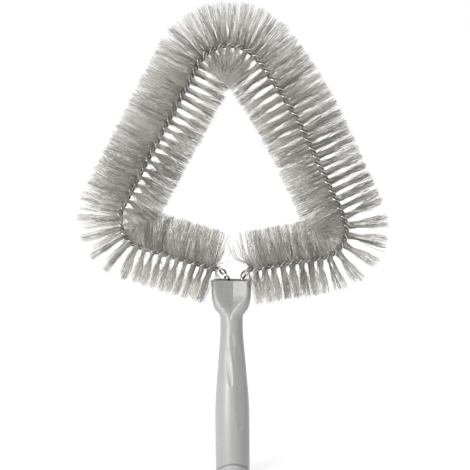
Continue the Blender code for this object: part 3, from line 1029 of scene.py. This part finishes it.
# Places across the shield, where 0 is the crease and 1 an edge
half_shares = np.concatenate([steps(0, 0.06, 5), steps(0.06, 0.9, 13), steps(0.9, 1.08, 15),
                              np.linspace(1.08, 1.3, 4)])
FRONT_SHARES = np.concatenate([-half_shares[:0:-1], half_shares])
BACK_COLUMNS = 118
COLUMNS = len(FRONT_SHARES) + BACK_COLUMNS
print(len(ROWS), "rows and", COLUMNS, "columns")

# %% Directions of the columns at each height
# Below the shield its columns run on to this half width, over this height
GRIP_HALF_SPREAD = 0.0040
SPREAD_TOP_Z = 0.1475
SPREAD_HEIGHT = 0.030


def column_angles(heights, size):
    """The direction of every column, from the front round by +X, with the shield's edges."""
    left, right = (shield_edge(heights, size, side) for side in (-1, 1))
    crease = shield_at(heights)[0][:, 0]
    spread_below = np.clip((SPREAD_TOP_Z - heights) / SPREAD_HEIGHT, 0, 1)
    left = left + spread_below * (-GRIP_HALF_SPREAD - left)
    right = right + spread_below * (GRIP_HALF_SPREAD - right)
    width = np.where(FRONT_SHARES[None, :] < 0, (crease - left)[:, None],
                     (right - crease)[:, None])
    x = crease[:, None] + width * FRONT_SHARES[None, :]
    front = np.arctan2(x, front_depth(x, size[:, None, :]))
    edge, other_edge = front[:, -1:], front[:, :1]
    share = np.linspace(0, 1, BACK_COLUMNS + 2)[None, 1:-1]
    return np.hstack([front, edge + (2 * math.pi + other_edge - edge) * share])


heights = np.array([0.05, 0.17])
print("Columns in a row:", column_angles(heights, flowing(HANDLE_SECTIONS, heights)).shape[1])

# %% [markdown]
# ## Flutes and groove
# Three shallow flutes on the front of the grip keep the fingers from slipping. Each one
# follows a straight line on the unrolled surface, with a blunt end, a flat floor and a
# soft edge. A narrow groove sets off the collar at the bottom, and rises at the front
# and the back.

# %% Depth of the flutes
# Angle from the front in degrees and height, at the upper and at the lower end; then
# the half width and the depth
FLUTES = [
    ((9, 0.1340), (22, 0.1035), 0.0024, 0.0005),
    ((-15, 0.1200), (4, 0.0850), 0.0027, 0.0005),
    ((36, 0.1240), (35, 0.0435), 0.0048, 0.0006),
]
# In half widths, how far out a flute ends and how wide its soft edge is
FLUTE_REACH = 1.35
FLUTE_SOFTNESS = 1.1
END_SHARPNESS = 1.6


def soft_step(value):
    value = np.clip(value, 0, 1)
    return value * value * (3 - 2 * value)


def flute_depth(angle, height, radius):
    """How deep the flutes cut at each point of the grip."""
    turned = (angle + math.pi) % (2 * math.pi) - math.pi
    depth = np.zeros_like(angle)
    for upper, lower, half_width, deepest in FLUTES:
        share = (upper[1] - height) / (upper[1] - lower[1])
        middle = np.radians(upper[0] + (lower[0] - upper[0]) * share)
        fullness = np.clip(1 - np.abs(2 * share - 1) ** 3, 0, 1) ** 0.5
        off = np.abs(turned - middle) * radius / np.maximum(half_width * fullness, 1e-5)
        depth = np.maximum(depth, deepest * soft_step((FLUTE_REACH - off) / FLUTE_SOFTNESS)
                           * soft_step(fullness * END_SHARPNESS))
    return depth


print("Flutes:", len(FLUTES))

# %% Depth of the collar's groove
GROOVE_Z = 0.0060
GROOVE_HALF_WIDTH = 0.00078
GROOVE_DEPTH = 0.0009
COLLAR_ARCH = 0.0078
COLLAR_TURN = math.radians(9)


def groove_depth(rows):
    across = np.clip(np.abs(rows - GROOVE_Z) / GROOVE_HALF_WIDTH, 0, 1)
    return GROOVE_DEPTH * np.sqrt(1 - across ** 2)[:, None]


def collar_lift(rows, angle):
    """How far the arch of the collar lifts each point of a row."""
    low = soft_step(rows / COLLAR_FOOT_Z)
    high = soft_step((rows - COLLAR_TOP_Z) / (ARCH_TOP_Z - COLLAR_TOP_Z))
    return COLLAR_ARCH * np.cos(angle - COLLAR_TURN) ** 2 * (low * (1 - high))[:, None]


print("Groove rises to", round((GROOVE_Z + COLLAR_ARCH) * 1000, 1), "mm at the front")

# %% [markdown]
# ## One closed mesh
# The handle is drawn as one long row of rings: from the floor of the pole socket down its
# bore, round the bottom rim, up the outside, over the top and down into the mouth. Every
# ring has the same number of points, so the faces between them need one rule only, and
# the body is closed by a single point in the middle of each of its two floors.

# %% Rings of the outside
CREASE_SOFTNESS = 0.00022
EDGE_SOFTNESS = 0.0011
# A crease depth far before the surface, so that nothing is cut below the shield
NO_SHIELD = 0.05
# Width of the band along the shield's edges that is painted paler as a painted highlight, and the
# height where that band starts
RIDGE_WIDTH = 0.0007
RIDGE_FOOT_Z = 0.146
# How much painted shade darkens a flute, a face of the shield and its crease, as shares of full
FLUTE_SHADE = 0.12
FACE_SHADE = 0.85
CREASE_SHADE = 0.15
CREASE_WIDTH = 0.0006
# Depths at which a hollow counts as full, and from which the crease is painted darker
FULL_FLUTE = 0.0006
FULL_CUT = 0.0010
CREASE_CUT = 0.0008
# The front of the collar, painted paler as a painted highlight: how far round, as cosines, and up to
# which row
FRONT_FROM, FRONT_FADE, FRONT_TOP_Z = 0.88, 0.1, 0.0051


def outside_rings(rows):
    """Points of the outside at each row, with masks for its edges and its hollows."""
    size = flowing(HANDLE_SECTIONS, rows)
    angle = column_angles(rows, size)
    height = rows[:, None] + collar_lift(rows, angle)
    radius = surface_radius(angle, size[:, None, :])
    flute, groove = flute_depth(angle, height, radius), groove_depth(rows)
    radius = radius - flute - groove
    x, depth = radius * np.sin(angle), radius * np.cos(angle)
    middle, crease, left_rise, right_rise = shield_at(rows)
    crease = np.where(rows[:, None] < SHIELD_FOOT_Z, NO_SHIELD, crease)
    from_crease = x - middle
    rise = np.where(from_crease < 0, left_rise, right_rise)
    face = crease + rise * np.sqrt(from_crease ** 2 + CREASE_SOFTNESS ** 2)
    # The lower of the outside and the face, with a soft edge where they meet
    shaped = 0.5 * (depth + face - np.sqrt((depth - face) ** 2 + EDGE_SOFTNESS ** 2))
    cut = np.where(depth > 0, depth - shaped, 0)
    # Pale band along the shield's edges and the collar's front, both painted highlights
    ridge = (np.exp(-((depth - face) / RIDGE_WIDTH) ** 2) * (depth > 0)
             * (rows > RIDGE_FOOT_Z)[:, None])
    collar = (soft_step((np.cos(angle - COLLAR_TURN) - FRONT_FROM) / FRONT_FADE)
              * (rows < FRONT_TOP_Z)[:, None])
    # Painted shade in the flutes, the groove, the shield's faces and its crease
    hollow = (FLUTE_SHADE * soft_step(flute / FULL_FLUTE) + (groove > 0)
              + FACE_SHADE * soft_step(cut / FULL_CUT)
              + CREASE_SHADE * np.exp(-(from_crease / CREASE_WIDTH) ** 2) * (cut > CREASE_CUT))
    return np.dstack([x, cut - depth, height]), ridge + 0.9 * collar, np.clip(hollow, 0, 1)


outside, edge_mask, hollow_mask = outside_rings(ROWS)
print("Outside:", outside.shape[0] * outside.shape[1], "points")

# %% Rings of the rim and the top
QUARTER = np.radians(np.linspace(0, 90, 6))
RIM_RADIUS = 0.0007


def ring_at(ring, inset, height):
    """A ring drawn in towards the handle's axis by an inset, at another height."""
    flat = ring[:, :2]
    distance = np.linalg.norm(flat, axis=1, keepdims=True)
    return np.hstack([flat * (1 - inset / distance), np.full((COLUMNS, 1), height)])


bottom_rim = [ring_at(outside[0], RIM_RADIUS * (1 - math.sin(turn)),
                      RIM_RADIUS * (1 - math.cos(turn))) for turn in QUARTER]
top_rim = [ring_at(outside[-1], RIM_RADIUS * (1 - math.cos(turn)),
                   HANDLE_LENGTH - RIM_RADIUS * (1 - math.sin(turn))) for turn in QUARTER]
print("Rings of the rims:", len(bottom_rim) + len(top_rim))

# %% Rings of the mouth
MOUTH_CENTRE = (0.0010, 0.0013)
# Half width, half depth and squareness
MOUTH_SIZE = np.array([0.0138, 0.0046, 3.0])
MOUTH_FLOOR_Z = 0.1712
LIP = 0.0005

offset = top_rim[-1][:, :2] - np.array(MOUTH_CENTRE)
mouth_angle = np.arctan2(offset[:, 0], -offset[:, 1])
mouth_radius = surface_radius(mouth_angle, MOUTH_SIZE)


def ring_of(angle, radius, height, centre=(0.0, 0.0)):
    """A ring of points round a centre, at one height."""
    return np.column_stack([centre[0] + radius * np.sin(angle),
                            centre[1] - radius * np.cos(angle), np.full(COLUMNS, height)])


mouth = [ring_of(mouth_angle, mouth_radius + LIP * (1 - math.sin(turn)),
                 HANDLE_LENGTH - LIP * (1 - math.cos(turn)), MOUTH_CENTRE) for turn in QUARTER]
mouth += [ring_of(mouth_angle, mouth_radius, height, MOUTH_CENTRE)
          for height in np.linspace(0.1795, MOUTH_FLOOR_Z + 0.0008, 6)]
# Shares of the mouth's width, and rises above its floor
mouth += [ring_of(mouth_angle, mouth_radius * share, MOUTH_FLOOR_Z + rise, MOUTH_CENTRE)
          for share, rise in [(0.985, 0.0003), (0.95, 0), (0.6, 0), (0.25, 0)]]
print("Rings of the mouth:", len(mouth))

# %% Rings of the pole socket
SOCKET_RADIUS = 0.0118
SOCKET_DEPTH = 0.062
SOCKET_CHAMFER = 0.0008
THREAD_PITCH = 0.0045
THREAD_HEIGHT = 0.0004
THREAD_START_Z = 0.003
THREAD_RUN_IN = 0.003
THREAD_END_Z = 0.048
THREAD_RUN_OUT = 0.004


def socket_ring(angle, height):
    """The bore, with the coarse thread that a broom pole screws into."""
    turned = np.cos(angle - 2 * math.pi * height / THREAD_PITCH)
    fade = (soft_step((height - THREAD_START_Z) / THREAD_RUN_IN)
            * soft_step((THREAD_END_Z - height) / THREAD_RUN_OUT))
    radius = SOCKET_RADIUS - THREAD_HEIGHT * fade * soft_step((turned - 0.2) / 0.6)
    return ring_of(angle, radius, height)


bore_angle = column_angles(ROWS[:1], flowing(HANDLE_SECTIONS, ROWS[:1]))[0]
socket = [socket_ring(bore_angle, height)
          for height in np.linspace(SOCKET_DEPTH, SOCKET_CHAMFER, 104)]
socket_floor = [socket[0] * [share, share, 1] for share in (0.35, 0.75)]
lead_in = ring_of(bore_angle, SOCKET_RADIUS + SOCKET_CHAMFER, 0.0)
print("Rings of the socket:", len(socket))

# %% Join the rings
rings = socket_floor + socket + [lead_in] + bottom_rim + list(outside) + top_rim + mouth
points = np.vstack([[[0, 0, SOCKET_DEPTH]], *rings, [[*MOUTH_CENTRE, MOUTH_FLOOR_Z]]])
last = len(points) - 1
faces = []
for number in range(len(rings) - 1):
    for column in range(COLUMNS):
        here = 1 + number * COLUMNS + column
        after = 1 + number * COLUMNS + (column + 1) % COLUMNS
        faces.append((here, after, after + COLUMNS, here + COLUMNS))
for column in range(COLUMNS):
    following = (column + 1) % COLUMNS
    faces.append((0, 1 + following, 1 + column))
    faces.append((last, last - COLUMNS + column, last - COLUMNS + following))
handle_mesh = bpy.data.meshes.new("moulded_handle")
handle_mesh.from_pydata(points.tolist(), [], faces)
handle_mesh.validate()
shell = bmesh.new()
shell.from_mesh(handle_mesh)
if shell.calc_volume(signed=True) < 0:
    bmesh.ops.reverse_faces(shell, faces=shell.faces)
print("Handle:", len(shell.faces), "faces,", round(shell.calc_volume() * 1e6, 1), "ml of plastic,",
      sum(not edge.is_manifold for edge in shell.edges), "open edges")
shell.to_mesh(handle_mesh)
shell.free()

# %% Keep the masks on the mesh
# Painted shade in the pole socket and on the mouth's floor, and wear on the lip
SOCKET_HOLLOW = 0.6
MOUTH_HOLLOW = 0.8
LIP_EDGE = 0.8
in_socket = len(socket_floor) + len(socket)
lip_rings = len(top_rim) + 4
deep_rings = 6


def over_rings(mask, below, above):
    """The mask of the outside, with a value for each count of rings below and above it."""
    parts = [np.full(COLUMNS * count, value) for value, count in below + above]
    parts.insert(len(below), mask.ravel())
    return np.concatenate([parts[0][:1], *parts, parts[-1][:1]])


masks = {
    "edge": over_rings(edge_mask, [(0.0, in_socket + 1), (1.0, len(bottom_rim))],
                       [(LIP_EDGE, lip_rings), (0.0, len(top_rim + mouth) - lip_rings)]),
    "hollow": over_rings(hollow_mask, [(SOCKET_HOLLOW, in_socket), (0.0, 1 + len(bottom_rim))],
                         [(0.0, len(top_rim + mouth) - deep_rings), (MOUTH_HOLLOW, deep_rings)])}
for label, values in masks.items():
    handle_mesh.attributes.new(label, "FLOAT", "POINT").data.foreach_set("value", values)
print("Masks kept:", list(masks))

# %% [markdown]
# ## The handle's plastic
# It is a light grey polypropylene with a soft gloss. Moulding leaves faint cloudy flow
# marks and a very fine orange peel. Use polishes the rims a little paler and leaves
# hairline scratches on the grip. Painted highlights make the shield's edges and the front
# of the collar paler, and painted shade darkens the groove, the crease and the flutes,
# the shield's faces, the socket and the mouth. The masks on the mesh say where the
# edges and the hollows are.

# %% Colour of the moulded plastic
GREY_PLASTIC = (0.335, 0.335, 0.332, 1)
PALE_PLASTIC = (0.39, 0.39, 0.387, 1)
PAINTED_HOLLOW_SHADE = (0.22, 0.22, 0.21, 1)
WORN_AND_HIGHLIT_EDGE = (0.66, 0.66, 0.655, 1)
SCRATCHED = (0.30, 0.30, 0.295, 1)

PLASTIC, tree, shader, place = finish_of("light_grey_moulded_plastic")
flow = effect(CLOUDS, place, scale=55.0, contrast=1.6)
blotches = effect(CLOUDS, place, scale=260.0, contrast=3.0)
# Painted shade darkens the hollows: the groove, the shield's faces and crease, the flutes, the socket
# and the mouth
shade_strength = times_plus(blotches, 0.4, 0.35)
painted_shade = times(carried(tree, "hollow"), shade_strength)
# Paler edges: wear on the rims and lip, and painted highlights along the shield's edges and on the
# collar's front
worn_and_highlit = times(carried(tree, "edge"), blotches)
colour = blended(flow, GREY_PLASTIC, PALE_PLASTIC)
colour = blended(painted_shade, colour, PAINTED_HOLLOW_SHADE)
colour = blended(times(worn_and_highlit, 0.5), colour, WORN_AND_HIGHLIT_EDGE)
# Stretched along the grip, so that the scratches run nearly along it
stretched = node(tree, "ShaderNodeMapping", {"Vector": place, "Scale": (1.0, 1.0, 0.025),
                 "Rotation": (0.05, 0.08, 0)}).outputs[0]
worn_patch = effect(CLOUDS, place, scale=28.0, contrast=4.0)
scratches = times(effect(HAIRLINES, stretched, scale=500.0, share=0.02),
                  worn_patch)
colour = blended(times(scratches, 0.06), colour, SCRATCHED)
feed(shader, {"Base Color": colour})
print("Colour nodes:", len(tree.nodes))

# %% Gloss and relief of the moulded plastic
sheen_patches = times_plus(flow, 0.10, 0.37)
peel = effect(CLOUDS, place, scale=900.0, contrast=1.0)
height = minus(times(peel, 0.5), scratches)
feed(shader, {
    "Roughness": times_plus(scratches, 0.22, sheen_patches),
    "Coat Weight": 1.0, "Coat Roughness": 0.40,
    "Normal": bumped(height, strength=0.12, distance=0.0002)})
print("Finish:", PLASTIC.name)

# %% Place the handle
handle_mesh.materials.append(PLASTIC)
handle_mesh.shade_smooth()
handle = in_scene("moulded_handle", handle_mesh)
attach(handle, "root")
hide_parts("handle")
print(handle.name, "placed")

# %% Finish
print("Scene built")
